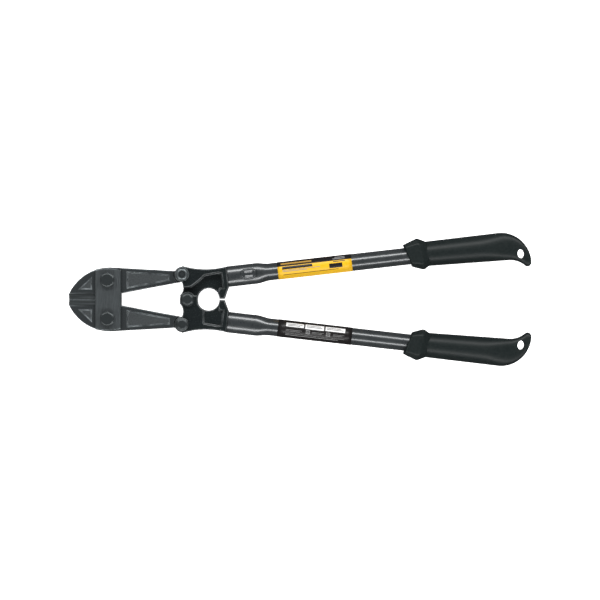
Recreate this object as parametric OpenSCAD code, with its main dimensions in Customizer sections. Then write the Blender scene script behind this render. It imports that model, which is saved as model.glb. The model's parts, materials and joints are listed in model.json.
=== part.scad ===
// Bolt cutters: two forged jaws pinned between side plates, worked by two cast
// brackets on tubular handles. Lies flat, nose towards -X, grips towards +X.
// The lower half is the upper half turned over about the long axis.

/* [Jaws] */
// From the centre pivot forward to the blade pivots
blade_pivot_x = 79.1; // [66:0.1:95]
// From the long axis out to each blade pivot
blade_pivot_y = 19.2; // [16:0.1:23]
// From each blade pivot out to the widest point of the head
jaw_depth = 12.5; // [10.5:0.1:15]
// From the blade pivots forward to the nose tip
nose_len = 38.5; // [32:0.1:41]
// Radius of the curved back of each jaw
nose_r = 45.2; // [43:0.1:52]
// How far the middle of that curve sits behind the blade pivots
nose_back = 2.6; // [1.5:0.1:3.5]
// Thickness of the jaws
jaw_t = 10; // [8.4:0.1:12]
// Gap between the closed cutting edges
blade_gap = 0.2; // [0.1:0.05:0.6]
// Width of the ground bevel on each cutting edge
bevel_w = 6.4; // [5:0.1:8]
// Flat left on each cutting edge
edge_land = 1; // [0.4:0.1:2]
// Angle that the jaws are relieved behind the blade pivots
relief_angle = 8.4; // [8:0.1:12]
// Inner edge of each arm, out from the long axis, where it leaves the head
arm_root_y = 6; // [4.5:0.1:8]
// Width of each arm where it meets its bracket
arm_tail_w = 12.4; // [11:0.1:13]
// Depth of the forged recesses in the faces
recess_depth = 1; // [0.5:0.1:1.6]

/* [Side plates] */
// Width of the side plates, along the tool
plate_w = 25; // [20.8:0.1:30]
// Thickness of each side plate
plate_t = 3.5; // [2.5:0.1:5]
// How far the plates' middle sits behind the blade pivots
plate_back = 0.6; // [0:0.1:1.5]
// How far the plates' ends stay inside the jaws' outline
plate_inset = 0.4; // [0.2:0.1:1]

/* [Brackets] */
// From the centre pivot forward to the rear pivots
rear_pivot_x = 5.3; // [4.5:0.1:6.3]
// From the long axis out to each rear pivot
rear_pivot_y = 24.7; // [22:0.1:29]
// Thickness of the jaw tongue in the bracket's fork
tongue_t = 8; // [6:0.1:8.2]
// Metal between the centre lugs and the round window
lug_web = 2; // [1.2:0.1:4]
// Radius of the round window
window_r = 11; // [9.2:0.1:13.2]
// Metal between the round window and the mouths of the tubes
neck_len = 7.8; // [6.5:0.1:12]
// How far each tube's mouth is set in from its rear pivot
mouth_drop = 2.2; // [1.5:0.1:3]
// Gap between the closing stops
stop_gap = 1.2; // [0.6:0.1:2]
// Depth of the cast panel beside the window
panel_depth = 3; // [1.5:0.1:4]

/* [Handles] */
// Angle of each closed handle from the long axis
handle_angle = 6.5; // [5:0.1:8]
// Outside diameter of the tubes
tube_d = 17; // [14.2:0.1:20.4]
// Wall of the tubes
tube_wall = 1.6; // [1.2:0.1:2.2]
// How much wider the flattened mouth is than the round tube
flat_spread = 3.6; // [2:0.1:4]
// How much thinner the flattened mouth is than the round tube
flat_squeeze = 4; // [3:0.1:5]
// Length of the flattened stretch
flat_len = 28; // [22:0.5:34]
// Length over which the tube turns from flat to round
taper_len = 14; // [10:0.5:18]
// From the round part's start to the label
label_gap = 8; // [2:0.5:14]
// Length of the label sleeve
label_len = 73.5; // [60:0.5:88]
// Thickness of the label film
label_t = 0.25; // [0.2:0.05:0.4]

/* [Grips] */
// From the tube mouth to the front of the grip
grip_start = 176; // [146.5:0.5:212]
// Length of the grip's straight body, from its front to the start of the tail
grip_body = 94.4; // [78:0.1:114]
// Rubber on the outer and inner sides of the tube, together
grip_sides = 6.5; // [5:0.1:9]
// How much wider the body gets by the tail
grip_flare = 4.3; // [3:0.1:6]
// Rubber on each face of the tube
grip_wall = 2.5; // [1.8:0.1:3.4]
// Thickness of the grip at its tail
tail_t = 12; // [9:0.1:15]
// Radius of the tail's outer curve
tail_r = 29.8; // [28:0.1:31]
// How far the tube stops short of the grip's tail
tube_short = 10.4; // [8:0.1:30]
// Width of the oval hanging hole
hang_w = 7.2; // [6:0.1:8]
// Length of the oval hanging hole
hang_len = 9; // [8.2:0.1:10]

/* [Fasteners] */
// Shank of the blade pivot bolts
blade_bolt_d = 8; // [6.6:0.1:9.6]
// Across the flats of the blade pivot bolts and nuts
blade_hex = 13; // [12:0.1:14]
// Height of the blade pivot heads and nuts
blade_hex_h = 5.3; // [4.5:0.1:6.5]
// Shank of the rear and centre pivot bolts
pivot_bolt_d = 6; // [5:0.1:7.2]
// Across the flats of the rear pivot heads and nuts
pivot_hex = 10; // [9:0.1:10.6]
// Across the flats of the centre pivot head and nut
centre_hex = 11; // [10:0.1:11.6]
// Height of the small heads and nuts
pivot_hex_h = 5; // [4:0.1:5]
// Thickness of the washers
washer_t = 1.2; // [0.8:0.1:1.4]
// Radius of the small washers
washer_r = 6.9; // [6:0.1:7.6]

/* [Fits] */
// Radial clearance of a bolt in its bore
bore_clear = 0.05; // [0.02:0.01:0.08]
// Side clearance between parts that swing past each other
side_clear = 0.25; // [0.15:0.01:0.4]
// Extra radius of the upper bracket's lug hole, for the linkage's sideways play
centre_play = 1.95; // [1.9:0.01:2.1]

/* [Hidden] */
$fn = 96;
eps = 0.01;
// How far a hole's cutter runs past the faces it opens
past = 1;

// Thickness: the brackets are as thick as the jaws with both side plates on
bracket_t = jaw_t + 2 * plate_t;
half_t = bracket_t / 2;
// The tool rests on the blade pivot nuts and the grip collars, so both reach equally low
mid_z = half_t + washer_t + blade_hex_h;

// Plan of the head: the jaws' curved backs, the side plates across them and the pivots
head_half_h = blade_pivot_y + jaw_depth;
nose_x = -(blade_pivot_x + nose_len);
nose_c = [-blade_pivot_x + nose_back, head_half_h - nose_r];
blade_pivot = [-blade_pivot_x, blade_pivot_y];
plate_x = -blade_pivot_x + plate_back;
plate_front_x = plate_x - plate_w / 2;
plate_rear_x = plate_x + plate_w / 2;

// Radii round the small pivots, each a rim wider than its washer
lug_r = washer_r + 0.7;
ear_r = washer_r + 0.9;
tongue_r = washer_r - 0.3;
fork_r = ear_r + 2 * side_clear;

// Arms: each runs from the side plates to its tongue, and narrows towards it
rear_pivot = [-rear_pivot_x, rear_pivot_y];
arm_end = [-rear_pivot_x - fork_r, rear_pivot_y - 2.7];
arm_outer = arm_end + [0, arm_tail_w / 2];
arm_inner = arm_end - [0, arm_tail_w / 2];
arm_slope = (arm_inner[1] - arm_root_y) / (arm_inner[0] - plate_rear_x);
tongue_lead = 5;

// Forged recesses: the triangle in front of the side plate and the long panel on the arm
pocket_rear_x = plate_front_x - 4.2;
pocket_w = 11.4;
pocket_h = 10.8;
pocket_y = bevel_w + 4.1;
panel_start = plate_rear_x + 6.5;
panel_end = arm_end[0] - 5;
panel_border = 4.2;

// Brackets: the lap round the centre pivot, the window and the shoulder that butts on the tube
lap_room = 4;
lap_y = lug_r + lap_room;
window_x = lug_r + lug_web + window_r;
window_end = window_x + window_r;
mouth_x = window_end + neck_len;
mouth_y = rear_pivot_y - mouth_drop;
waist = [window_x - 2.8, rear_pivot_y + 5.2];
waist_r = 82;
front_hollow_r = 11;
front_hollow = [-4.4 - front_hollow_r, 12];
stop_len = 4.9;
heel = [-2.4, -15.2];
shoulder_rim = 0.7;

// Tubes: the mouth is flattened over the casting's tang
tube_r = tube_d / 2;
flat_w = tube_d + flat_spread;
flat_h = tube_d - flat_squeeze;
shoulder_w = flat_w + 2 * shoulder_rim;
tang_len = flat_len - 2;
tang_clear = 0.1;
round_start = flat_len + taper_len;
label_start = round_start + label_gap;
tube_end = grip_start + grip_body - tube_short;

// Grips, in the handle's own frame: u runs along the tube, v points away from the other handle
body_end = grip_start + grip_body;
outer_v = tube_r + grip_sides / 2 + 0.6;
inner_v = outer_v - tube_d - grip_sides;
grip_t = tube_d + 2 * grip_wall;
collar_len = 25;
collar_t = 2 * mid_z;
collar_rise = 4.1;
collar_lean = 6.3;
edge_cut = 6;
// Tail: a large outer arc, a round tip inside it and a hollow arc that meets both smoothly
tail_c = [body_end, outer_v + 0.45 - tail_r];
tip_r = 2.7;
tip_angle = -8;
tip_c = tail_c + (tail_r - tip_r) * [cos(tip_angle), sin(tip_angle)];
hook_top = [body_end + 7, inner_v - grip_flare + 0.15];
hook_drop = tip_c[1] - hook_top[1];
hook_r = ((tip_c[0] - hook_top[0]) ^ 2 + hook_drop ^ 2 - tip_r ^ 2) / (2 * (tip_r - hook_drop));
hook_c = hook_top - [0, hook_r];
hook_angle = atan2(tip_c[1] - hook_c[1], tip_c[0] - hook_c[0]);
hang_c = [body_end + 20.3, tail_c[1] + 6.8];

// The tool is centred on its own length
end_x = mouth_x + tail_c[0] * cos(handle_angle) - tail_c[1] * sin(handle_angle) + tail_r;
shift_x = -(nose_x + end_x) / 2;

// ---------- shared shapes ----------

module place() { translate([shift_x, 0, mid_z]) children(); }
module turn_over() { rotate([180, 0, 0]) children(); }
module in_handle() { translate([mouth_x, mouth_y, 0]) rotate([0, 0, handle_angle]) children(); }
module slab(t) { translate([0, 0, -t / 2]) linear_extrude(t) children(); }
module at(p) { translate(p) children(); }

// Points along an arc
function arc(c, r, from, to, steps) =
    [for (i = [0:steps]) let (a = from + (to - from) * i / steps) c + r * [cos(a), sin(a)]];

// An outline and its mirror image below the first axis, as one loop
function both_sides(pts) =
    concat(pts, [for (i = [len(pts) - 1:-1:0]) [pts[i][0], -pts[i][1]]]);

// A point of the handle's frame, in the tool's plan
function on_handle(u, v) = [
    mouth_x + u * cos(handle_angle) - v * sin(handle_angle),
    mouth_y + u * sin(handle_angle) + v * cos(handle_angle)
];

// Radius of the flat top of a head or nut, as a share of its width across the flats
hex_crown = 0.47;
shank_chamfer = 0.6;

// Hexagon with its corners chamfered at the top, standing on z = 0
module hex_body(across, h) {
    corner = across / sqrt(3);
    top = across * hex_crown;
    intersection() {
        rotate(30) cylinder(r = corner, h = h, $fn = 6);
        rotate_extrude() polygon([
            [0, 0], [corner, 0], [corner, h - (corner - top) * tan(30)], [top, h], [0, h]
        ]);
    }
}

// Shank hanging below z = 0, with a chamfered end
module shank(d, len) {
    r = d / 2;
    translate([0, 0, -len]) rotate_extrude() polygon([
        [0, 0], [r - shank_chamfer, 0], [r, shank_chamfer], [r, len + eps], [0, len + eps]
    ]);
}

module bolt(across, head_h, d, len) {
    hex_body(across, head_h);
    shank(d, len);
}

module nut(across, h, d) {
    difference() {
        hex_body(across, h);
        translate([0, 0, -past]) cylinder(r = d / 2 + bore_clear, h = h + 2 * past);
    }
}

module washer(r, d, t) {
    difference() {
        cylinder(r = r, h = t);
        translate([0, 0, -past]) cylinder(r = d / 2 + bore_clear, h = t + 2 * past);
    }
}

// Strip with round ends: w across in y, h across in z, drawn in the y-z plane
module racetrack(w, h) {
    square([h, w - h], center = true);
    for (s = [-1, 1]) translate([0, s * (w - h) / 2]) circle(r = h / 2);
}

// Stands a y-z section at distance u along the tube and runs it for len
module run_along(u, len) {
    translate([u, 0, 0]) rotate([0, 90, 0]) linear_extrude(len) children();
}

// ---------- head ----------

// The plate's two ends are arcs about the middle of the plate
module for_both_ends() {
    intersection() {
        translate([plate_x, nose_c[1]]) children();
        translate([plate_x, -nose_c[1]]) children();
    }
}

module plate_plan() {
    intersection() {
        translate([plate_front_x, -head_half_h]) square([plate_w, 2 * head_half_h]);
        for_both_ends() circle(r = nose_r - plate_inset);
    }
}

module side_plate() {
    difference() {
        linear_extrude(plate_t) plate_plan();
        for (s = [-1, 1]) translate([blade_pivot[0], s * blade_pivot[1], -past])
            cylinder(r = blade_bolt_d / 2 + bore_clear, h = plate_t + 2 * past);
    }
}

module front_plate() {
    color([0.33, 0.35, 0.36]) place() translate([0, 0, jaw_t / 2]) side_plate();
}

module back_plate() {
    color([0.33, 0.35, 0.36]) place() translate([0, 0, -half_t]) side_plate();
}

// The bolts' ends stop just inside their nuts
end_in = 0.3;

module blade_bolt(side) {
    len = bracket_t + washer_t + blade_hex_h - end_in;
    place() translate([blade_pivot[0], side * blade_pivot[1], half_t])
        bolt(blade_hex, blade_hex_h, blade_bolt_d, len);
}

module blade_nut(side) {
    place() translate([blade_pivot[0], side * blade_pivot[1], -half_t - washer_t])
        turn_over() nut(blade_hex, blade_hex_h, blade_bolt_d);
}

module blade_washer(side) {
    place() translate([blade_pivot[0], side * blade_pivot[1], -half_t - washer_t])
        washer(blade_hex / 2 + 1, blade_bolt_d, washer_t);
}

module upper_jaw_bolt() { color([0.12, 0.13, 0.13]) blade_bolt(1); }
module lower_jaw_bolt() { color([0.12, 0.13, 0.13]) blade_bolt(-1); }
module upper_jaw_nut() { color([0.12, 0.13, 0.13]) blade_nut(1); }
module lower_jaw_nut() { color([0.12, 0.13, 0.13]) blade_nut(-1); }
module upper_jaw_washer() { color([0.2, 0.21, 0.21]) blade_washer(1); }
module lower_jaw_washer() { color([0.2, 0.21, 0.21]) blade_washer(-1); }

module jaw_plan() {
    difference() {
        union() {
            intersection() {
                translate(nose_c) circle(r = nose_r);
                translate([nose_x, blade_gap / 2]) square([nose_c[0] - nose_x, head_half_h]);
            }
            polygon([
                [nose_c[0], blade_gap / 2], [plate_rear_x, blade_gap / 2],
                [plate_rear_x, arm_root_y], arm_inner, arm_inner + tongue_lead * [1, arm_slope],
                rear_pivot - [0, tongue_r], [rear_pivot[0], arm_outer[1] - 0.4],
                arm_outer, [nose_c[0], head_half_h]
            ]);
            at(rear_pivot) circle(r = tongue_r);
        }
        // relief that lets the closed jaws turn open
        translate([blade_pivot[0], blade_gap / 2]) rotate(relief_angle)
            translate([0, -plate_w]) square([2 * plate_w, plate_w]);
    }
}

// Triangle that the bevel takes off each face, in the y-z plane
module bevel_cut() {
    under_plate = 3;
    translate([nose_x - past, 0, 0]) rotate([90, 0, 90])
        linear_extrude(plate_front_x - nose_x + past + under_plate) polygon([
            [0, edge_land / 2], [blade_gap / 2, edge_land / 2],
            [bevel_w, jaw_t / 2], [bevel_w, jaw_t], [0, jaw_t]
        ]);
}

module recess_plan() {
    polygon([
        [pocket_rear_x - pocket_w, pocket_y], [pocket_rear_x, pocket_y],
        [pocket_rear_x, pocket_y + pocket_h]
    ]);
    polygon([
        [panel_start, arm_root_y + arm_slope * (panel_start - plate_rear_x) + panel_border],
        [panel_end, arm_root_y + arm_slope * (panel_end - plate_rear_x) + panel_border],
        [panel_end, arm_outer[1] - panel_border],
        [panel_start, head_half_h - panel_border - 0.6]
    ]);
}

module jaw() {
    difference() {
        slab(jaw_t) jaw_plan();
        at(blade_pivot) cylinder(r = blade_bolt_d / 2 + bore_clear, h = 2 * jaw_t, center = true);
        at(rear_pivot) cylinder(r = pivot_bolt_d / 2 + bore_clear, h = 2 * jaw_t, center = true);
        for (face = [0, 1]) mirror([0, 0, face]) {
            bevel_cut();
            translate([0, 0, jaw_t / 2 - recess_depth]) linear_extrude(jaw_t) recess_plan();
            at(rear_pivot) translate([0, 0, tongue_t / 2]) cylinder(r = fork_r, h = jaw_t);
        }
    }
}

module upper_jaw() { color([0.24, 0.26, 0.27]) place() jaw(); }
module lower_jaw() { color([0.24, 0.26, 0.27]) place() turn_over() jaw(); }

// ---------- brackets ----------

// Plan of one casting: fork ear, pivot lug, half of the window, stop and tube shoulder
module bracket_plan() {
    difference() {
        union() {
            difference() {
                polygon([
                    [-lug_r, stop_gap / 2], [-lug_r, rear_pivot_y],
                    rear_pivot + [0, ear_r + 1], on_handle(0, shoulder_w / 2 + 0.5),
                    on_handle(0, 0.4 - shoulder_w / 2), on_handle(heel[0], heel[1]),
                    [window_end + stop_len, stop_gap / 2]
                ]);
                translate(waist + [0, waist_r]) circle(r = waist_r, $fn = 200);
                translate(front_hollow) circle(r = front_hollow_r);
            }
            at(rear_pivot) circle(r = ear_r);
        }
        translate([window_x, 0]) circle(r = window_r);
    }
}

// Plan of the lug that overlaps the other casting's lug
module lug_plan() {
    root_w = 8;
    difference() {
        union() {
            circle(r = lug_r);
            translate([0, -root_w / 2]) square([lug_r + lug_web + 1.5, root_w]);
        }
        translate([window_x, 0]) circle(r = window_r);
    }
}

// Plan of the half-thickness region: the lap at the centre pivot, a step that climbs past the
// rear pivot, and the panel between the window and the tube
module lap_plan() {
    far = 20;
    polygon([
        [-far, -far], [-far, lap_y], [-3.7, lap_y], [3.3, lap_y + 1],
        [12.2, rear_pivot_y - 5.2], [16.6, rear_pivot_y - 0.7], [30, rear_pivot_y + 1.7],
        [mouth_x - 5.9, rear_pivot_y + 1.2], [mouth_x - 4, lap_y - 0.5],
        [window_end - 0.1, lap_y - 1], [window_end - 3.5, 0], [window_x, -far]
    ]);
}

module bracket(lug_bore_r) {
    shoulder_back = 4;
    panel_front = 15.6;
    difference() {
        union() {
            slab(bracket_t) bracket_plan();
            translate([0, 0, -half_t]) linear_extrude(half_t) lug_plan();
            in_handle() run_along(-shoulder_back, tang_len + shoulder_back)
                racetrack(flat_w - 2 * tube_wall - 2 * tang_clear,
                          flat_h - 2 * tube_wall - 2 * tang_clear);
        }
        // half lap: this casting keeps its back half round the centre pivot
        translate([0, 0, -side_clear / 2]) linear_extrude(half_t + past) lap_plan();
        // cast panel in the back face
        translate([0, 0, -half_t - past]) linear_extrude(panel_depth + past) intersection() {
            lap_plan();
            translate([panel_front, -past]) square([window_end, 2 * rear_pivot_y]);
        }
        // fork for the jaw tongue
        at(rear_pivot) cylinder(r = fork_r, h = tongue_t + 2 * side_clear, center = true);
        at(rear_pivot) cylinder(r = pivot_bolt_d / 2 + bore_clear, h = 2 * bracket_t, center = true);
        cylinder(r = lug_bore_r, h = 2 * bracket_t, center = true);
    }
}

module upper_bracket() {
    color([0.13, 0.14, 0.15]) place() bracket(pivot_bolt_d / 2 + centre_play);
}

module lower_bracket() {
    color([0.13, 0.14, 0.15]) place() turn_over() bracket(pivot_bolt_d / 2 + bore_clear);
}

// ---------- centre pivot ----------

// The back washer and nut stand off the upper lug, which slides under them
back_stack_z = -half_t - side_clear;
centre_head_h = pivot_hex_h - 0.6;
pivot_nut_h = pivot_hex_h - 0.2;

module centre_bolt() {
    len = half_t + washer_t - back_stack_z + washer_t + pivot_nut_h - end_in;
    color([0.15, 0.16, 0.16]) place() translate([0, 0, half_t + washer_t])
        bolt(centre_hex, centre_head_h, pivot_bolt_d, len);
}

module centre_front_washer() {
    color([0.2, 0.21, 0.21]) place() translate([0, 0, half_t]) washer(washer_r, pivot_bolt_d, washer_t);
}

module centre_back_washer() {
    color([0.2, 0.21, 0.21]) place() translate([0, 0, back_stack_z - washer_t])
        washer(washer_r, pivot_bolt_d, washer_t);
}

module centre_nut() {
    color([0.15, 0.16, 0.16]) place() translate([0, 0, back_stack_z - washer_t])
        turn_over() nut(centre_hex, pivot_nut_h, pivot_bolt_d);
}

// ---------- rear pivots: head behind the upper bracket, in front of the lower ----------

// Its hexagon stands on a round flange as thick as a washer
module rear_bolt() {
    at(rear_pivot) translate([0, 0, -half_t]) turn_over() {
        cylinder(r = washer_r - 0.4, h = washer_t);
        translate([0, 0, washer_t - eps]) hex_body(pivot_hex, pivot_hex_h - washer_t);
        shank(pivot_bolt_d, bracket_t + washer_t + pivot_nut_h - end_in);
    }
}

module rear_washer() {
    at(rear_pivot) translate([0, 0, half_t]) washer(washer_r, pivot_bolt_d, washer_t);
}

module rear_nut() {
    at(rear_pivot) translate([0, 0, half_t + washer_t])
        rotate(30) nut(pivot_hex, pivot_nut_h, pivot_bolt_d);
}

module upper_pivot_bolt() { color([0.15, 0.16, 0.16]) place() rear_bolt(); }
module lower_pivot_bolt() { color([0.15, 0.16, 0.16]) place() turn_over() rear_bolt(); }
module upper_pivot_washer() { color([0.2, 0.21, 0.21]) place() rear_washer(); }
module lower_pivot_washer() { color([0.2, 0.21, 0.21]) place() turn_over() rear_washer(); }
module upper_pivot_nut() { color([0.2, 0.21, 0.21]) place() rear_nut(); }
module lower_pivot_nut() { color([0.2, 0.21, 0.21]) place() turn_over() rear_nut(); }

// ---------- handles ----------

// Solid of the tube with its outline moved in by inset and its ends moved out by over
module tube_solid(inset, over) {
    run_along(-over, flat_len + over) racetrack(flat_w - 2 * inset, flat_h - 2 * inset);
    hull() {
        run_along(flat_len - eps, eps) racetrack(flat_w - 2 * inset, flat_h - 2 * inset);
        run_along(round_start, eps) circle(r = tube_r - inset);
    }
    run_along(round_start, tube_end - round_start + over) circle(r = tube_r - inset);
}

module tube() {
    in_handle() difference() {
        tube_solid(0, 0);
        tube_solid(tube_wall, past);
    }
}

module upper_tube() { color([0.24, 0.25, 0.27]) place() tube(); }
module lower_tube() { color([0.24, 0.25, 0.27]) place() turn_over() tube(); }

module label() {
    in_handle() translate([label_start, 0, 0]) rotate([0, 90, 0]) difference() {
        cylinder(r = tube_r + label_t, h = label_len);
        translate([0, 0, -past]) cylinder(r = tube_r, h = label_len + 2 * past);
    }
}

module upper_label() { color([0.93, 0.71, 0.11]) place() label(); }
module lower_label() { color([0.1, 0.1, 0.1]) place() turn_over() label(); }

// ---------- grips ----------

// Outline seen from above, u along the tube and v across it: the outer side with its collar,
// the tail, the hollow of the tail, and the inner side with its collar
module grip_plan() {
    g = grip_start;
    polygon(concat(
        [
            [g, outer_v - 1.4], [g + 2, outer_v + 0.2], [g + 13.5, outer_v + collar_rise],
            [g + 18, outer_v + 1.2], [g + collar_len - 2, outer_v]
        ],
        arc(tail_c, tail_r, 90, tip_angle, 18),
        arc(tip_c, tip_r, tip_angle - 15, hook_angle - 165, 6),
        arc(hook_c, hook_r, hook_angle, 90, 8),
        [
            [g + collar_len, inner_v], [g + collar_len - 4, inner_v - 1.5],
            [g + 17.6, inner_v - collar_rise + 0.3], [g + collar_lean + 1.2, inner_v - 1],
            [g + collar_lean, inner_v + 1.2]
        ]
    ));
}

// Outline seen from the side, u along the tube and w through its thickness
module grip_side() {
    g = grip_start;
    polygon(both_sides([
        [g - past, collar_t / 2 - 2.6], [g + 14, collar_t / 2], [g + 17, collar_t / 2],
        [g + collar_len, grip_t / 2], [body_end - 6, grip_t / 2],
        [body_end + 16, tail_t / 2 + 0.8], [body_end + tail_r + past, tail_t / 2]
    ]));
}

// Outline seen along the tube, w through and v across, with the outer corners cut off
module grip_end() {
    top = outer_v + collar_rise + past;
    low = tip_c[1] - tip_r - past;
    half = collar_t / 2 + past;
    rotate(90) polygon(both_sides([
        [low, half], [outer_v + 2 - edge_cut, half], [top, half - edge_cut]
    ]));
}

module grip() {
    in_handle() difference() {
        intersection() {
            slab(2 * collar_t) grip_plan();
            rotate([90, 0, 0]) linear_extrude(4 * tail_r, center = true) grip_side();
            run_along(grip_start - past, grip_body + 2 * tail_r) grip_end();
        }
        run_along(grip_start - past, tube_end - grip_start + 2 * past)
            circle(r = tube_r + bore_clear);
        slab(2 * collar_t) translate(hang_c) {
            square([hang_w, hang_len - hang_w], center = true);
            for (s = [-1, 1]) translate([0, s * (hang_len - hang_w) / 2]) circle(r = hang_w / 2);
        }
    }
}

module upper_grip() { color([0.15, 0.17, 0.17]) place() grip(); }
module lower_grip() { color([0.15, 0.17, 0.17]) place() turn_over() grip(); }

front_plate();
back_plate();
upper_jaw_bolt();
lower_jaw_bolt();
upper_jaw_nut();
lower_jaw_nut();
upper_jaw_washer();
lower_jaw_washer();
upper_jaw();
lower_jaw();
upper_bracket();
lower_bracket();
centre_bolt();
centre_front_washer();
centre_back_washer();
centre_nut();
upper_pivot_bolt();
upper_pivot_washer();
upper_pivot_nut();
lower_pivot_bolt();
lower_pivot_washer();
lower_pivot_nut();
upper_tube();
lower_tube();
upper_label();
lower_label();
upper_grip();
lower_grip();
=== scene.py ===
import json
import bpy
import bmesh
from math import atan2, cos, pi, radians, sin, sqrt
from mathutils import Matrix, Vector


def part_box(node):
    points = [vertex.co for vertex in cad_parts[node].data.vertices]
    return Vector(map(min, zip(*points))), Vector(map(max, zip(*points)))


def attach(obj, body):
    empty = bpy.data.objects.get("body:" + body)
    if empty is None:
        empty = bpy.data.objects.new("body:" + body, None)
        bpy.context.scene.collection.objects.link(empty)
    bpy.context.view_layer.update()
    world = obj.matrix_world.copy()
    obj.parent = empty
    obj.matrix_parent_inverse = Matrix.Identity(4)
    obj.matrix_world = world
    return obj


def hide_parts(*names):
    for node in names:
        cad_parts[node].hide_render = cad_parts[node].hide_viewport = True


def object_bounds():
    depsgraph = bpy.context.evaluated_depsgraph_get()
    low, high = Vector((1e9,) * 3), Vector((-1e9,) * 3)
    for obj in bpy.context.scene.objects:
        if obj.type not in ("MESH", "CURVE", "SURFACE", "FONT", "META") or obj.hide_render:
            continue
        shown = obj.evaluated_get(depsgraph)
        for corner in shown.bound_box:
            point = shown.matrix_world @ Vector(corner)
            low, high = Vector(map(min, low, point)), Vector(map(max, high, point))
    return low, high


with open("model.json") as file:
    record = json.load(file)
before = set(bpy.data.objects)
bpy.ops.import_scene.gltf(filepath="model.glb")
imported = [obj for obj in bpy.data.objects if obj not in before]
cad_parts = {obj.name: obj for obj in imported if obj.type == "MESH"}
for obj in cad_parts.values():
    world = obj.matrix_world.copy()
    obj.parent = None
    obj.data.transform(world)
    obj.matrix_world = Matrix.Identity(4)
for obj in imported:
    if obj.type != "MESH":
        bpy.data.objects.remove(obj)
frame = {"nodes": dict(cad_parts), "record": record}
cad_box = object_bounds()
mm = 0.001


# The bench: a plain pale sweep that the tool lies on, two long soft boxes that lean over it from
# either side, and a camera that looks straight down on the tool's face.
floor_gap = 0.2 * mm
sweep_reach = 3.0
sweep_mesh = bpy.data.meshes.new("sweep")
bm = bmesh.new()
bmesh.ops.create_grid(bm, x_segments=1, y_segments=1, size=sweep_reach)
bmesh.ops.translate(bm, verts=bm.verts, vec=(0, 0, cad_box[0].z - floor_gap))
bm.to_mesh(sweep_mesh)
bm.free()
sweep = bpy.data.objects.new("sweep", sweep_mesh)
bpy.context.scene.collection.objects.link(sweep)
sweep.visible_glossy = False

paper = bpy.data.materials.new("pale_paper")
paper.use_nodes = True
paper_shader = paper.node_tree.nodes["Principled BSDF"]
paper_shader.inputs["Base Color"].default_value = (0.86, 0.86, 0.86, 1)
paper_shader.inputs["Roughness"].default_value = 0.9
paper_shader.inputs["Specular IOR Level"].default_value = 0.1
paper_shader.inputs["Emission Color"].default_value = (1, 1, 1, 1)
paper_shader.inputs["Emission Strength"].default_value = 1.0
sweep_mesh.materials.append(paper)

tool_mid = (cad_box[0] + cad_box[1]) / 2
box_angle = radians(41.4)
box_distance = 1.1
box_length = 2.2
box_width = 0.24


def soft_box(name, angle, power):
    """A long light that leans over the tool at an angle from straight above, towards +Y or -Y."""
    lamp = bpy.data.lights.new(name, "AREA")
    lamp.shape = "RECTANGLE"
    lamp.size = box_length
    lamp.size_y = box_width
    lamp.energy = power
    holder = bpy.data.objects.new(name, lamp)
    holder.rotation_euler = (-angle, 0, 0)
    holder.location = tool_mid + box_distance * Vector((0, sin(angle), cos(angle)))
    bpy.context.scene.collection.objects.link(holder)


soft_box("upper_soft_box", box_angle, 26)
soft_box("lower_soft_box", -box_angle, 20)

world = bpy.data.worlds.new("studio")
world.use_nodes = True
sky = world.node_tree.nodes["Background"]
sky.inputs["Color"].default_value = (0.95, 0.97, 1.0, 1)
sky.inputs["Strength"].default_value = 0.12
bpy.context.scene.world = world
bpy.context.scene.view_settings.view_transform = "Standard"

view_width = 0.594
camera_height = 2.6
sensor = 36
lens = bpy.data.cameras.new("camera")
lens.sensor_width = sensor
lens.lens = sensor * (camera_height - tool_mid.z) / view_width
camera = bpy.data.objects.new("camera", lens)
camera.location = (-0.0001, -0.0006, camera_height)
bpy.context.scene.collection.objects.link(camera)
bpy.context.scene.camera = camera


# Jaws: two drop-forged tool steel jaws, oxide blackened, with a shallow forged pocket ahead of the
# plates and a panel along the arm. The bevels of the cutting edges are ground along their length.
def plain_finish(name, colour, metal, roughness):
    """A new material, with its node tree and its shader."""
    finish = bpy.data.materials.new(name)
    finish.use_nodes = True
    tree = finish.node_tree
    shader = tree.nodes["Principled BSDF"]
    shader.inputs["Base Color"].default_value = (*colour, 1)
    shader.inputs["Metallic"].default_value = metal
    shader.inputs["Roughness"].default_value = roughness
    return finish, tree, shader


def grain(tree, stretch, detail=6.0):
    """Noise in millimetres of the piece's own coordinates, stretched along one way or another."""
    place = tree.nodes.new("ShaderNodeTexCoord")
    mapping = tree.nodes.new("ShaderNodeMapping")
    mapping.inputs["Scale"].default_value = tuple(1000 * s for s in stretch)
    noise = tree.nodes.new("ShaderNodeTexNoise")
    noise.inputs["Scale"].default_value = 1.0
    noise.inputs["Detail"].default_value = detail
    tree.links.new(place.outputs["Object"], mapping.inputs["Vector"])
    tree.links.new(mapping.outputs["Vector"], noise.inputs["Vector"])
    return noise.outputs["Fac"]


def vary(tree, fac, socket, low, high, spread=(0.35, 0.65)):
    """Runs a shader socket from low to high over the noise."""
    if socket.type == "RGBA":
        ramp = tree.nodes.new("ShaderNodeValToRGB")
        ramp.color_ramp.elements[0].position = spread[0]
        ramp.color_ramp.elements[0].color = (*low, 1)
        ramp.color_ramp.elements[1].position = spread[1]
        ramp.color_ramp.elements[1].color = (*high, 1)
        tree.links.new(fac, ramp.inputs["Fac"])
        tree.links.new(ramp.outputs["Color"], socket)
    else:
        span = tree.nodes.new("ShaderNodeMapRange")
        span.inputs["From Min"].default_value = spread[0]
        span.inputs["From Max"].default_value = spread[1]
        span.inputs["To Min"].default_value = low
        span.inputs["To Max"].default_value = high
        tree.links.new(fac, span.inputs["Value"])
        tree.links.new(span.outputs["Result"], socket)


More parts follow.
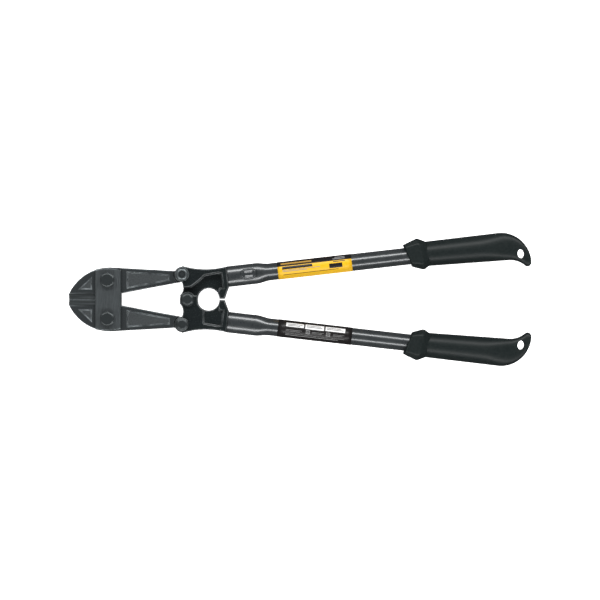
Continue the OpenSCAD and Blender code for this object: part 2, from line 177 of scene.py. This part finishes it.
def emboss(tree, shader, fac, height, strength):
    """Raises the surface by the noise, up to height in metres."""
    bump = tree.nodes.new("ShaderNodeBump")
    bump.inputs["Distance"].default_value = height
    bump.inputs["Strength"].default_value = strength
    tree.links.new(fac, bump.inputs["Height"])
    tree.links.new(bump.outputs["Normal"], shader.inputs["Normal"])


def merged_copy(node, weld=0.03 * mm, flat=radians(1)):
    """A CAD part's triangles joined into whole faces, as a bmesh."""
    bm = bmesh.new()
    bm.from_mesh(frame["nodes"][node].data)
    bmesh.ops.remove_doubles(bm, verts=bm.verts, dist=weld)
    bmesh.ops.dissolve_limit(bm, angle_limit=flat, verts=bm.verts, edges=bm.edges)
    return bm


def ease(bm, radius, where, segments, sharper_than=25, finish=-1):
    """Rounds over the edges that turn by more than some degrees and pass where(middle, edge)."""
    chosen = []
    for edge in bm.edges:
        if len(edge.link_faces) == 2 and edge.calc_face_angle() > radians(sharper_than):
            if where((edge.verts[0].co + edge.verts[1].co) / 2, edge):
                chosen.append(edge)
    bmesh.ops.bevel(bm, geom=chosen, offset=radius, offset_type="OFFSET", segments=segments,
                    profile=0.5, affect="EDGES", clamp_overlap=False, material=finish)
    bmesh.ops.dissolve_degenerate(bm, edges=bm.edges, dist=0.001 * mm)


def is_rim(edge):
    """True where a flat face of the part meets a wall that runs through it."""
    flats = sorted(abs(face.normal.z) for face in edge.link_faces)
    return flats[0] < 0.15 and flats[1] > 0.9


def put(name, bm, body, materials, smooth=35):
    """Makes the finished piece: smooth where it turns by fewer degrees, riding on its body."""
    mesh = bpy.data.meshes.new(name)
    bm.to_mesh(mesh)
    bm.free()
    for material in materials:
        mesh.materials.append(material)
    mesh.shade_smooth()
    mesh.set_sharp_from_angle(angle=radians(smooth))
    piece = bpy.data.objects.new(name, mesh)
    bpy.context.scene.collection.objects.link(piece)
    settle = piece.modifiers.new("settle", "WEIGHTED_NORMAL")
    settle.keep_sharp = True
    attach(piece, body)
    return piece


forged, tree, shader = plain_finish("forged_oxide", (0.045, 0.05, 0.052), 0.55, 0.42)
scale = grain(tree, (1.4, 1.4, 1.4))
vary(tree, scale, shader.inputs["Base Color"], (0.022, 0.026, 0.028), (0.032, 0.037, 0.039))
vary(tree, scale, shader.inputs["Roughness"], 0.3, 0.4)
emboss(tree, shader, grain(tree, (1.6, 1.6, 1.6), 2), 0.015 * mm, 0.5)

# Edge wear and painted highlight: the rounded rims get a brighter steel. It is partly the wear of
# use and partly painted highlight lines where the soft boxes would glint.
edge_highlight_wear, tree, shader = plain_finish("worn_edge_painted_highlight", (0.2, 0.22, 0.23), 0.8, 0.4)
wear_highlight_noise = grain(tree, (0.12, 0.12, 0.12), 2)
vary(tree, wear_highlight_noise, shader.inputs["Base Color"], (0.035, 0.04, 0.042), (0.13, 0.145, 0.15))
vary(tree, wear_highlight_noise, shader.inputs["Roughness"], 0.36, 0.46)
emboss(tree, shader, grain(tree, (1.6, 1.6, 1.6), 2), 0.01 * mm, 0.4)

sunk, tree, shader = plain_finish("forged_recess", (0.06, 0.068, 0.071), 0.4, 0.5)
pitted = grain(tree, (1.1, 1.1, 1.1))
vary(tree, pitted, shader.inputs["Base Color"], (0.022, 0.0255, 0.027), (0.038, 0.0435, 0.046))
vary(tree, pitted, shader.inputs["Roughness"], 0.4, 0.55)
emboss(tree, shader, grain(tree, (1.1, 1.1, 1.1), 2), 0.03 * mm, 0.5)

ground, tree, shader = plain_finish("ground_edge", (0.12, 0.13, 0.135), 0.75, 0.36)
wheel = grain(tree, (0.03, 0.9, 0.9), 3)
vary(tree, wheel, shader.inputs["Base Color"], (0.02, 0.024, 0.025), (0.055, 0.062, 0.065),
     spread=(0.4, 0.62))
vary(tree, grain(tree, (0.12, 6, 6)), shader.inputs["Roughness"], 0.34, 0.46)
emboss(tree, shader, wheel, 0.05 * mm, 0.4)

plate_low, plate_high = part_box("front_plate")
jaw_half = 5 * mm
edge_band = 6.6 * mm
edge_end = plate_low.x + 12 * mm
contact_gap = 0.15 * mm
outline_ease = 1.8 * mm
recess_ease = 0.75 * mm


def on_cutting_edge(middle):
    """True on the ground bevels beside the line where the jaws meet."""
    return middle.x < edge_end and abs(middle.y) < edge_band


def on_outline(middle):
    """True on the rim round the jaw's nose, outside the forged pocket."""
    level = abs(abs(middle.z - tool_mid.z) - jaw_half) < 0.02 * mm
    reach = (middle - Vector((plate_low.x, 0, middle.z))).length
    return level and reach > 29 * mm and middle.x < plate_low.x and abs(middle.y) > 7 * mm


def make_jaw(name, node, body):
    """Closes the gap between the cutting edges, rounds the jaw's rims and parts its finishes."""
    finishes = [forged, ground, sunk, edge_highlight_wear]
    wear_highlight_slot = finishes.index(edge_highlight_wear)
    bm = merged_copy(node)
    for vert in bm.verts:
        if abs(vert.co.y) < contact_gap:
            vert.co.y = 0
    # The rounded rims take the brighter edge material: wear plus a painted highlight.
    ease(bm, outline_ease, lambda middle, edge: is_rim(edge) and on_outline(middle),
         segments=5, finish=wear_highlight_slot)
    ease(bm, recess_ease, lambda middle, edge: is_rim(edge) and not on_outline(middle)
         and not on_cutting_edge(middle), segments=4, finish=wear_highlight_slot)
    for face in bm.faces:
        middle = face.calc_center_median()
        # Rims behind the plates that face back along the arm, away from both soft boxes, go back to
        # plain forged steel without the painted highlight.
        if face.material_index == wear_highlight_slot:
            if middle.x > plate_high.x and face.normal.x > 0.3:
                face.material_index = finishes.index(forged)
        elif on_cutting_edge(middle) and 0.3 < abs(face.normal.z) < 0.95:
            face.material_index = finishes.index(ground)
        elif face.normal.z > 0.98 and 3 * mm < middle.z - tool_mid.z < 4.7 * mm:
            face.material_index = finishes.index(sunk)
    piece = put(name, bm, body, finishes)
    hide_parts(node)


make_jaw("upper_forged_jaw", "upper_jaw", "upper_jaw")
make_jaw("lower_forged_jaw", "lower_jaw", "lower_jaw")


# Side plates: two flat steel straps that hold the jaws between them, linished across the tool
# before they were darkened, with a chamfer over each rounded end.
brushed, tree, shader = plain_finish("linished_steel", (0.2, 0.215, 0.22), 0.8, 0.42)
linish = grain(tree, (7, 0.12, 7), 4)
vary(tree, linish, shader.inputs["Base Color"], (0.058, 0.066, 0.069), (0.092, 0.103, 0.108))
vary(tree, linish, shader.inputs["Roughness"], 0.34, 0.44)
emboss(tree, shader, linish, 0.01 * mm, 0.5)

plate_end = plate_high.y - 2.6 * mm
end_ease = 1.5 * mm
side_ease = 0.35 * mm

for side in ("front", "back"):
    bm = merged_copy(side + "_plate")
    # The chamfered ends take the brighter edge material: wear plus a painted highlight.
    ease(bm, end_ease, lambda middle, edge: is_rim(edge) and abs(middle.y) > plate_end,
         segments=4, finish=1)
    ease(bm, side_ease, lambda middle, edge: is_rim(edge) and abs(middle.y) < plate_end,
         segments=2, sharper_than=40)
    piece = put(side + "_side_plate", bm, "head", [brushed, edge_highlight_wear])
    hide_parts(side + "_plate")


# Bolts, nuts and washers: blackened steel hexagons with turned, chamfered crowns. The blade bolts
# clamp the side plates, the small ones join the brackets to the jaws and to each other.
black_oxide, tree, shader = plain_finish("black_oxide", (0.03, 0.034, 0.035), 0.5, 0.34)
turned = grain(tree, (2.5, 2.5, 2.5))
vary(tree, turned, shader.inputs["Base Color"], (0.016, 0.02, 0.021), (0.026, 0.031, 0.033))
vary(tree, turned, shader.inputs["Roughness"], 0.3, 0.4)
emboss(tree, shader, grain(tree, (1.2, 1.2, 1.2), 2), 0.01 * mm, 0.4)

dark_zinc, tree, shader = plain_finish("dark_zinc", (0.07, 0.075, 0.077), 0.7, 0.36)
plating = grain(tree, (1.6, 1.6, 1.6))
vary(tree, plating, shader.inputs["Base Color"], (0.07, 0.08, 0.083), (0.1, 0.113, 0.117))
vary(tree, plating, shader.inputs["Roughness"], 0.3, 0.42)
emboss(tree, shader, grain(tree, (1.2, 1.2, 1.2), 2), 0.01 * mm, 0.4)

slot_of = {row["node"]: row["material_slot"] for row in frame["record"]["subparts"]}
body_of = {n: b for b, ns in frame["record"]["behaviour"]["bodies"].items() for n in ns}


def next_ring(bm, edges):
    """Extrudes a closed loop of edges and gives the new loop's vertices and edges."""
    made = bmesh.ops.extrude_edge_only(bm, edges=edges)["geom"]
    verts = [g for g in made if isinstance(g, bmesh.types.BMVert)]
    fresh = set(verts)
    return verts, [g for g in made if isinstance(g, bmesh.types.BMEdge)
                   and g.verts[0] in fresh and g.verts[1] in fresh]


def hexagon(angle, flats, turn):
    """How far a hexagon's outline lies from its middle, at an angle."""
    return flats / 2 / cos((angle - turn) % radians(60) - radians(30))


def turn_up(node, rings, hollow):
    """Turns a fastener from rings of (radius or hexagon, height), closed into a tube if hollow."""
    low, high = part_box(node)
    axis = (low + high) / 2
    bm = bmesh.new()
    bmesh.ops.create_circle(bm, segments=96, radius=1 * mm, cap_ends=False)
    first = edges = list(bm.edges)
    verts = list(bm.verts)
    for number, (radius, height) in enumerate(rings):
        if number:
            verts, edges = next_ring(bm, edges)
        for vert in verts:
            angle = atan2(vert.co.y, vert.co.x)
            r = radius(angle) if callable(radius) else radius
            z = height(angle) if callable(height) else height
            vert.co = (r * cos(angle), r * sin(angle), z)
    if hollow:
        bmesh.ops.bridge_loops(bm, edges=first + edges)
    else:
        bmesh.ops.contextual_create(bm, geom=first)
        bmesh.ops.contextual_create(bm, geom=edges)
    bmesh.ops.recalc_face_normals(bm, faces=bm.faces)
    bmesh.ops.translate(bm, verts=bm.verts, vec=(axis.x, axis.y, 0))
    finish = dark_zinc if slot_of[node] == "zinc_fastener" else black_oxide
    piece = put(node + "_turned", bm, body_of[node], [finish], smooth=25)
    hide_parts(node)


def crown(outline, flat_r, top, way, slope=0.6):
    """The rings of a chamfered hexagon's top: a flat disc and the cone down to its sides."""
    drop = lambda angle: top - way * max(outline(angle) - flat_r, 0) * slope
    return [(flat_r - 0.25 * mm, top), (flat_r + 0.1 * mm, top - way * 0.08 * mm), (outline, drop)]


def make_bolt(node, way, seat, flats, turn, flat_r, shank, flange=None):
    """A bolt whose head points up (way 1) or down (way -1) from its seat, on a flange or not."""
    low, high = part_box(node)
    top, end = (high.z, low.z) if way > 0 else (low.z, high.z)
    outline = lambda angle: hexagon(angle, flats, turn)
    rings = crown(outline, flat_r, top, way)
    if flange:
        rise = seat + way * 1.1 * mm
        rings += [(outline, rise + way * 0.5 * mm), (flats / 2 + 0.9 * mm, rise + way * 0.25 * mm),
                  (flange - 0.6 * mm, rise), (flange - 0.15 * mm, rise - way * 0.2 * mm),
                  (flange, rise - way * 0.5 * mm), (flange, seat)]
    else:
        rings += [(outline, seat)]
    rings += [(shank, seat), (shank, end + way * 0.7 * mm), (shank - 0.7 * mm, end)]
    turn_up(node, rings, hollow=False)


def make_nut(node, way, flats, turn, flat_r, bore):
    """A nut with its chamfered side up (way 1) or down (way -1)."""
    low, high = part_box(node)
    top, seat = (high.z, low.z) if way > 0 else (low.z, high.z)
    outline = lambda angle: hexagon(angle, flats, turn)
    rings = [(bore, top - way * 0.8 * mm), (bore + 0.7 * mm, top)]
    rings += crown(outline, flat_r, top, way)
    rings += [(outline, seat), (bore, seat)]
    turn_up(node, rings, hollow=True)


def make_washer(node, bore, soft=0.35 * mm, corner=0.1 * mm):
    """A flat washer with softened outer edges."""
    low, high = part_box(node)
    outer = (high.x - low.x) / 2
    rings = [(bore, low.z), (outer - soft, low.z), (outer - corner, low.z + corner),
             (outer, low.z + soft), (outer, high.z - soft), (outer - corner, high.z - corner),
             (outer - soft, high.z), (bore, high.z)]
    turn_up(node, rings, hollow=True)


plate_top = plate_high.z
bracket_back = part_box("upper_bracket")[0].z
corner_up = radians(30)
corner_ahead = 0
m6, m6_nut, m6_washer = 3 * mm, 3.02 * mm, 3.05 * mm
m8, m8_nut, m8_washer = 4 * mm, 4.02 * mm, 4.05 * mm

for side in ("upper", "lower"):
    make_bolt(side + "_jaw_bolt", 1, plate_top, 13 * mm, corner_up, 5.7 * mm, m8)
    make_nut(side + "_jaw_nut", -1, 13 * mm, corner_up, 5.9 * mm, m8_nut)
    make_washer(side + "_jaw_washer", m8_washer)

make_bolt("centre_bolt", 1, plate_top + 1.2 * mm, 11 * mm, corner_up, 4.4 * mm, m6)
make_nut("centre_nut", -1, 11 * mm, corner_up, 4.8 * mm, m6_nut)
make_washer("centre_front_washer", m6_washer)
make_washer("centre_back_washer", m6_washer)

for side, way, seat in (("upper", -1, bracket_back), ("lower", 1, plate_top)):
    make_bolt(side + "_pivot_bolt", way, seat, 10 * mm, corner_ahead, 4.1 * mm, m6, 6.5 * mm)
    make_nut(side + "_pivot_nut", -way, 10 * mm, corner_ahead, 4.4 * mm, m6_nut)
    make_washer(side + "_pivot_washer", m6_washer)


# Brackets: two black enamelled castings that lap over each other at the centre pivot and hold the
# jaws' tongues in their forks. Their tangs go inside the tubes.
casting, tree, shader = plain_finish("enamelled_casting", (0.012, 0.015, 0.016), 0.0, 0.27)
sand = grain(tree, (0.8, 0.8, 0.8))
vary(tree, sand, shader.inputs["Base Color"], (0.004, 0.006, 0.0065), (0.006, 0.0085, 0.009))
vary(tree, sand, shader.inputs["Roughness"], 0.22, 0.28)
shader.inputs["Specular IOR Level"].default_value = 0.4
emboss(tree, shader, grain(tree, (1.6, 1.6, 1.6), 2), 0.01 * mm, 0.5)

# Casting chips and painted highlight: the rounded rims of the brackets get a lighter, part-metallic
# colour. It is partly chipped enamel and partly painted highlight lines.
casting_chips_painted_highlight, tree, shader = plain_finish("casting_chips_painted_highlight", (0.05, 0.055, 0.057), 0.3, 0.34)
chip_highlight_noise = grain(tree, (0.15, 0.15, 0.15), 2)
vary(tree, chip_highlight_noise, shader.inputs["Base Color"], (0.02, 0.024, 0.025), (0.06, 0.066, 0.068))
vary(tree, chip_highlight_noise, shader.inputs["Roughness"], 0.3, 0.42)
emboss(tree, shader, grain(tree, (1.6, 1.6, 1.6), 2), 0.01 * mm, 0.5)

casting_ease = 1.1 * mm

for side in ("upper", "lower"):
    bm = merged_copy(side + "_bracket")
    # The rounded rims take the lighter edge material: chips plus a painted highlight.
    ease(bm, casting_ease, lambda middle, edge: is_rim(edge), segments=5, sharper_than=40, finish=1)
    piece = put(side + "_casting", bm, side + "_handle", [casting, casting_chips_painted_highlight])
    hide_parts(side + "_bracket")


# Tubes: seamless steel tube in dark grey gloss enamel. Its mouth is pressed oval over the
# casting's tang and locked there by a punched dimple with two ribs.
enamel, tree, shader = plain_finish("grey_enamel", (0.037, 0.042, 0.045), 0.3, 0.28)
flow = grain(tree, (0.12, 0.12, 0.12), 2)
vary(tree, flow, shader.inputs["Base Color"], (0.024, 0.0275, 0.0295), (0.029, 0.033, 0.035))
vary(tree, flow, shader.inputs["Roughness"], 0.27, 0.3)
emboss(tree, shader, grain(tree, (0.3, 0.3, 0.3), 1), 0.004 * mm, 0.2)
shader.inputs["Coat Weight"].default_value = 0.4
shader.inputs["Coat Roughness"].default_value = 0.17

handle_angle = radians(6.5)
film_mm = 73.5
film_start = 50 * mm
label_low, label_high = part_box("upper_label")
label_mid = (label_low + label_high) / 2
along = Vector((cos(handle_angle), sin(handle_angle), 0))
mouth = label_mid - along * (film_start + film_mm * mm / 2)
on_handle = Matrix.Translation(mouth) @ Matrix.Rotation(handle_angle, 4, "Z")
turn_over = (Matrix.Translation((0, 0, tool_mid.z)) @ Matrix.Rotation(pi, 4, "X")
             @ Matrix.Translation((0, 0, -tool_mid.z)))
place_of = {"upper": on_handle, "lower": turn_over @ on_handle}

tube_r = 8.5 * mm
tube_wall = 1.5 * mm
tube_end = 260 * mm
mouth_w = 20.6 * mm
mouth_h = 13 * mm
oval_len = 28 * mm
taper_len = 14 * mm
lock_u, lock_v = 21 * mm, 0.3 * mm
lock_half_u, lock_half_v = 9 * mm, 5.9 * mm
lock_depth = 1.6 * mm
rib_v = 2.4 * mm
rib_half_v = 1.1 * mm
rib_height = 0.45 * mm


def eased_step(value, start, end):
    """Goes from 0 at start to 1 at end, level at both."""
    t = min(max((value - start) / (end - start), 0), 1)
    return t * t * (3 - 2 * t)


def punched(u, v, w, crest):
    """The height of the tube's front at a point, with the punched lock and its two ribs."""
    du, dv = u - lock_u, v - lock_v
    inside = 1 - eased_step(sqrt((du / lock_half_u) ** 2 + (dv / lock_half_v) ** 2), 0.78, 1.0)
    rib = max(0, 1 - abs(abs(dv) - rib_v) / rib_half_v) * rib_height
    rib *= 1 - eased_step(abs(du), 3.6 * mm, 4.8 * mm)
    return w + inside * (crest - lock_depth + rib - w)


def make_tube(side):
    """Draws the tube out from its oval mouth, in close rings as far as it tapers."""
    close = 0.5 * mm
    drawn = 43 * mm
    stations = [close * i for i in range(85)]
    stations += [drawn + (tube_end - drawn) * i / 12 for i in range(13)]
    bm = bmesh.new()
    ring = bmesh.ops.create_circle(bm, segments=220, radius=1)["verts"]
    unit = [v.co.copy() for v in ring]
    edges = list(bm.edges)
    for number, u in enumerate(stations):
        if number:
            ring, edges = next_ring(bm, edges)
        t = eased_step(u, oval_len, oval_len + taper_len)
        half_w = mouth_w / 2 + (tube_r - mouth_w / 2) * t
        half_h = mouth_h / 2 + (tube_r - mouth_h / 2) * t
        for vert, spot in zip(ring, unit):
            v, w = spot.x * half_w, spot.y * half_h
            if w > 0.5 * half_h:
                w = punched(u, v, w, half_h)
            vert.co = (u, v, w)
    bmesh.ops.recalc_face_normals(bm, faces=bm.faces)
    bmesh.ops.transform(bm, matrix=place_of[side], verts=bm.verts)
    piece = put(side + "_handle_tube", bm, side + "_handle", [enamel], smooth=60)
    wall = piece.modifiers.new("wall", "SOLIDIFY")
    wall.thickness = tube_wall
    wall.offset = -1
    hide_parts(side + "_tube")


for side in ("upper", "lower"):
    make_tube(side)


# Labels: thin printed film wrapped round each tube, yellow with a black band on one handle and
# black on the other. The prints are plain bars and blocks.
def film_finish(name, colour):
    """Satin film or ink, very slightly uneven."""
    finish, tree, shader = plain_finish(name, colour, 0.0, 0.36)
    ink = grain(tree, (0.6, 0.6, 0.6), 3)
    vary(tree, ink, shader.inputs["Base Color"], tuple(0.93 * c for c in colour), colour)
    vary(tree, ink, shader.inputs["Roughness"], 0.32, 0.42)
    shader.inputs["Specular IOR Level"].default_value = 0.2
    return finish


inks = {"yellow": film_finish("yellow_film", (0.6, 0.34, 0.01)),
        "black": film_finish("black_film", (0.008, 0.007, 0.007)),
        "white": film_finish("white_ink", (0.62, 0.62, 0.62)),
        "grey": film_finish("grey_ink", (0.19, 0.19, 0.19)),
        "amber": film_finish("amber_ink", (0.3, 0.17, 0.03))}
film_gap = 0.25 * mm
film_thickness = 0.2 * mm
wraps_over = 8


def make_label(side, ground_ink, prints, facing):
    """prints: (ink, start and end along the label, lowest and highest across it), in mm.

    The first print that covers a place is the one seen there. All are on the side the label is
    facing, but a band that reaches the tube's edge goes on round the back.
    """
    cuts = sorted({0.0, film_mm} | {cut for row in prints for cut in row[1:3]})
    bm = bmesh.new()
    bmesh.ops.create_circle(bm, segments=180, radius=tube_r + film_gap)
    bmesh.ops.transform(bm, matrix=Matrix.Rotation(radians(90), 4, "Y"), verts=bm.verts)
    edges = list(bm.edges)
    for cut, following in zip(cuts, cuts[1:]):
        ring, edges = next_ring(bm, edges)
        bmesh.ops.translate(bm, verts=ring, vec=(following * mm - cut * mm, 0, 0))
    names = list(inks)
    for face in bm.faces:
        middle = face.calc_center_median()
        u, v = middle.x / mm, middle.y / mm
        seen = middle.z * facing > 0
        face.material_index = names.index(ground_ink)
        for ink, u0, u1, v0, v1 in prints:
            if (seen or v1 > wraps_over) and u0 < u < u1 and v0 < v < v1:
                face.material_index = names.index(ink)
                break
    bmesh.ops.recalc_face_normals(bm, faces=bm.faces)
    bmesh.ops.translate(bm, verts=bm.verts, vec=(film_start, 0, 0))
    bmesh.ops.transform(bm, matrix=place_of[side], verts=bm.verts)
    piece = put(side + "_label_film", bm, side + "_handle", list(inks.values()), smooth=60)
    film = piece.modifiers.new("film", "SOLIDIFY")
    film.thickness = film_thickness
    film.offset = -1
    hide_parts(side + "_label")


black_band = [
    ("amber", 3.5, 34, 5.4, 6.9),
    ("grey", 55, 67, 5.2, 5.8),
    ("grey", 57, 67, 6.5, 7),
    ("black", 0, film_mm, 3.9, 9)]
yellow_field = [
    ("black", 4.5, 34.5, 0.7, 3.2),
    ("grey", 4.5, 42, -0.6, -0.1),
    ("grey", 4.5, 29, -1.7, -1.2),
    ("black", 5, 60, -4.9, -4.4),
    ("black", 51, 64, -3.4, 1.1),
    ("black", 55, 67, 2.5, 3.2)]
white_boxes = [
    ("black", 9, 24, -5.4, -4.8),
    ("black", 9, 22, -4.0, -3.5),
    ("black", 28, 44, -4.3, -3.8),
    ("black", 28, 42, -5.7, -5.2),
    ("black", 48, 65, -4.3, -3.8),
    ("black", 48, 62, -5.7, -5.2),
    ("white", 8, 25.5, -6.3, -2.8),
    ("white", 27, 45.5, -6.4, -2.2),
    ("white", 47, 66.5, -6.5, -2.3)]
framed_blocks = [
    ("grey", 29.5, 30.5, 0.2, 1.6),
    ("black", 28.6, 31.4, -0.3, 2.1),
    ("grey", 28, 32, -0.8, 2.6),
    ("grey", 49.5, 50.5, 0.2, 1.6),
    ("black", 48.6, 51.4, -0.3, 2.1),
    ("grey", 48, 52, -0.8, 2.6)]
small_print = [
    ("grey", 8, 24, 0.2, 0.6),
    ("grey", 8, 22, 1.5, 1.9),
    ("grey", 34, 46, 0.2, 0.6),
    ("grey", 34, 44, 1.5, 1.9),
    ("grey", 55, 66, 0.2, 0.6),
    ("grey", 55, 64, 1.5, 1.9),
    ("grey", 8, 66, 4.0, 4.4),
    ("grey", 8, 60, 5.5, 5.8)]
make_label("upper", "yellow", black_band + yellow_field, 1)
make_label("lower", "black", white_boxes + framed_blocks + small_print, -1)


# Grips: near-black rubber moulded over the tube ends, with a faceted collar at the front and a
# thin hooked tail that has a hanging hole. Along a handle u runs back, v outwards and w up.
rubber, tree, shader = plain_finish("satin_rubber", (0.007, 0.01, 0.01), 0.0, 0.46)
moulded = grain(tree, (0.5, 0.5, 0.5), 4)
vary(tree, moulded, shader.inputs["Base Color"], (0.006, 0.0088, 0.0088), (0.008, 0.0112, 0.0112))
vary(tree, moulded, shader.inputs["Roughness"], 0.37, 0.45)
emboss(tree, shader, grain(tree, (2, 2, 2), 2), 0.008 * mm, 0.4)
shader.inputs["Specular IOR Level"].default_value = 0.14

collar_front = 176 * mm
barrel_start = collar_front + 19 * mm
body_end = 270.4 * mm
outer_v = 12.35 * mm
outer_rise = 0.45 * mm
inner_v = -11.15 * mm
tail_r = 29.8 * mm
tail_v = 12.8 * mm - tail_r
tip_r = 3.6 * mm
tip_angle = radians(-6.5)
tip_u = body_end + (tail_r - tip_r) * cos(tip_angle)
tip_v = tail_v + (tail_r - tip_r) * sin(tip_angle)
hook_u = body_end + 7 * mm
hook_v = inner_v - 4.15 * mm
hook_drop = tip_v - hook_v
hook_r = ((tip_u - hook_u) ** 2 + hook_drop ** 2 - tip_r ** 2) / (2 * (tip_r - hook_drop))
hang_u = body_end + 20.3 * mm
hang_v = tail_v + 6.8 * mm
hang_r = 3.6 * mm
barrel_w = 11.4 * mm
tail_thinning = 5 * mm
collar_ease = 1.1 * mm


def outer_edge(u):
    """The grip's outer outline: nearly straight, then the tail's large arc, then the tip."""
    if u < body_end:
        return outer_v + outer_rise * (u - collar_front) / (body_end - collar_front)
    if u < tip_u + tip_r * cos(tip_angle):
        return tail_v + sqrt(max(tail_r ** 2 - (u - body_end) ** 2, 0))
    return tip_v + sqrt(max(tip_r ** 2 - (u - tip_u) ** 2, 0))


def inner_edge(u):
    """The grip's inner outline: it flares to the tail, then hollows down to the tip."""
    if u < hook_u:
        return inner_v + (hook_v - inner_v) * (u - collar_front) / (hook_u - collar_front)
    if u < hook_u + (tip_u - hook_u) * hook_r / (hook_r + tip_r):
        return hook_v - hook_r + sqrt(hook_r ** 2 - (u - hook_u) ** 2)
    return tip_v - sqrt(max(tip_r ** 2 - (u - tip_u) ** 2, 0))


def loft(sections):
    """Skins a row of sections, each a list of as many points, and closes both ends."""
    bm = bmesh.new()
    rings = []
    for points in sections:
        ring = bmesh.ops.create_circle(bm, segments=len(points), radius=1)["verts"]
        for vert, point in zip(ring, points):
            vert.co = point
        rings.append(list({edge for vert in ring for edge in vert.link_edges}))
    for first, second in zip(rings, rings[1:]):
        bmesh.ops.bridge_loops(bm, edges=first + second)
    for end in (rings[0], rings[-1]):
        bmesh.ops.contextual_create(bm, geom=end)
    bmesh.ops.recalc_face_normals(bm, faces=bm.faces)
    return bm


def oval_section(u, low, high, half_w, power, count=64):
    """A rounded section between two edges: power 2 is an ellipse and more is squarer."""
    points = []
    for number in range(count):
        c, s = cos(2 * pi * number / count), sin(2 * pi * number / count)
        v = (low + high) / 2 + (high - low) / 2 * abs(c) ** (2 / power) * (1 if c > 0 else -1)
        w = half_w * abs(s) ** (2 / power) * (1 if s > 0 else -1)
        points.append((u, v, w))
    return points


def facet_section(u_out, u_in, low, high, half_w, cut_v, cut_w):
    """An eight-sided section that leans, with its corners cut off by cut_v and cut_w."""
    corners = [(high, half_w - cut_w), (high - cut_v, half_w), (low + cut_v, half_w),
               (low, half_w - cut_w)]
    corners += [(v, -w) for v, w in reversed(corners)]
    lean = (u_in - u_out) / (high - low)
    return [(u_out + lean * (high - v), v, w) for v, w in corners]


def loose(name, bm):
    """A working object for a boolean cut or join, taken away again afterwards."""
    mesh = bpy.data.meshes.new(name)
    bm.to_mesh(mesh)
    bm.free()
    made = bpy.data.objects.new(name, mesh)
    bpy.context.scene.collection.objects.link(made)
    return made


def grip_barrel():
    """The hand part and its thinning tail, skinned over rounded sections."""
    end_u = tip_u + 0.998 * tip_r
    stations = [barrel_start + (body_end - barrel_start) * i / 24 for i in range(24)]
    stations += [body_end + (end_u - body_end) * sin(pi / 2 * i / 44) for i in range(45)]
    sections = []
    for u in stations:
        low, high = inner_edge(u), outer_edge(u)
        half_w = barrel_w - tail_thinning * eased_step(u, body_end - 14 * mm, body_end + 22 * mm)
        half_w = min(half_w, (high - low) / 2 + 3 * mm)
        power = 2.15 + 1.2 * eased_step(u, body_end - 20 * mm, body_end + 20 * mm)
        sections.append(oval_section(u, low, high, half_w, power))
    return loose("grip_body", loft(sections))


def grip_collar():
    """The faceted collar: it grows to its widest section, then necks down into the barrel."""
    rows = [(0, 6.3, -10, 11, 10.8, 3.2, 2.4),
            (0.6, 6.9, -11, 11.9, 11.8, 3.6, 2.8),
            (13.5, 17.6, -15, 16.4, 14.8, 5.6, 4.2),
            (15.5, 18.8, -14.6, 15.6, 14.4, 5.6, 4.2),
            (22.5, 25, -11, 12.2, 10.4, 5, 4.2)]
    bm = loft([facet_section(collar_front + u_out * mm, collar_front + u_in * mm,
                             *[size * mm for size in sizes]) for u_out, u_in, *sizes in rows])
    ease(bm, collar_ease, lambda middle, edge: True, segments=4, sharper_than=12)
    return loose("grip_collar", bm)


def round_bar(radius, length, segments):
    """A closed cylinder along Z about the origin, as a bmesh."""
    bm = bmesh.new()
    bmesh.ops.create_cone(bm, cap_ends=True, segments=segments, radius1=radius, radius2=radius,
                          depth=length)
    return bm


def make_grip(side):
    """Joins the collar to the barrel, bores them for the tube and cuts the hanging hole."""
    body = grip_barrel()
    collar = grip_collar()

    bm = round_bar(hang_r, 40 * mm, 48)
    bmesh.ops.scale(bm, vec=(1, 1.25, 1), verts=bm.verts)
    bmesh.ops.translate(bm, vec=(hang_u, hang_v, 0), verts=bm.verts)
    hole = loose("grip_hole", bm)

    bore_start = collar_front - 5 * mm
    bore_len = tube_end + 0.2 * mm - bore_start
    bm = round_bar(tube_r, bore_len, 96)
    bmesh.ops.rotate(bm, verts=bm.verts, matrix=Matrix.Rotation(radians(90), 3, "Y"))
    bmesh.ops.translate(bm, vec=(bore_start + bore_len / 2, 0, 0), verts=bm.verts)
    bore = loose("grip_bore", bm)

    for tool, way in ((collar, "UNION"), (hole, "DIFFERENCE"), (bore, "DIFFERENCE")):
        joint = body.modifiers.new(tool.name, "BOOLEAN")
        joint.operation = way
        joint.solver = "EXACT"
        joint.object = tool
    depsgraph = bpy.context.evaluated_depsgraph_get()
    made = bpy.data.meshes.new_from_object(body.evaluated_get(depsgraph))
    bm = bmesh.new()
    bm.from_mesh(made)
    for used in (body, collar, hole, bore):
        bpy.data.objects.remove(used)
    bpy.data.meshes.remove(made)
    bmesh.ops.transform(bm, matrix=place_of[side], verts=bm.verts)
    piece = put(side + "_moulded_grip", bm, side + "_handle", [rubber], smooth=32)
    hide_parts(side + "_grip")


for side in ("upper", "lower"):
    make_grip(side)
